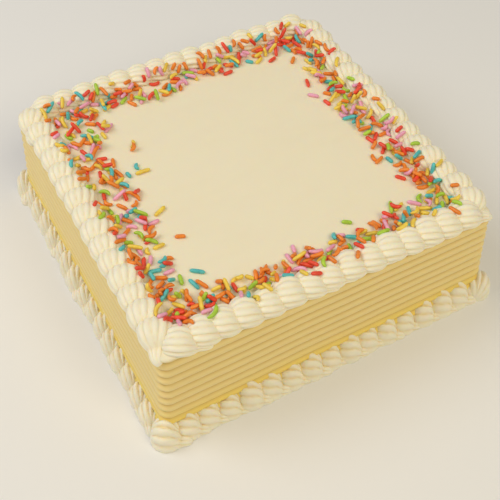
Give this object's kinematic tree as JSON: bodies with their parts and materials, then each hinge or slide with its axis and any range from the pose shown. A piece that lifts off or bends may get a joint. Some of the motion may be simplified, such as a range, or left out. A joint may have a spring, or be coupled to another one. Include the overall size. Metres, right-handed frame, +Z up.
{
  "type": "square ribbon cake",
  "caption": "Whole square buttercream cake with comb-lined sides, piped shell borders round the top and the foot, and a band of sugar strands inside the top border.",
  "frame": {"origin": "middle of the cake's flat foot", "axes": "+Z up, the front side faces -Y, and every border is piped left to right as seen from outside"},
  "size_m": [0.2226, 0.2226, 0.0776],
  "materials": {
    "icing": "pale yellow buttercream, scraped smooth on top and combed on the sides, soft satin",
    "piped_icing": "cream buttercream piped through a star tip, soft satin",
    "strand_red": "red sugar strand, slight gloss",
    "strand_orange": "orange sugar strand, slight gloss",
    "strand_yellow": "yellow sugar strand, slight gloss",
    "strand_green": "lime green sugar strand, slight gloss",
    "strand_blue": "turquoise sugar strand, slight gloss",
    "strand_pink": "pink sugar strand, slight gloss"
  },
  "bodies": {
    "root": {"cake_block": "icing", "top_border_front": "piped_icing", "top_border_right": "piped_icing", "top_border_back": "piped_icing", "top_border_left": "piped_icing", "foot_border_front": "piped_icing", "foot_border_right": "piped_icing", "foot_border_back": "piped_icing", "foot_border_left": "piped_icing"}
  },
  "joints": []
}
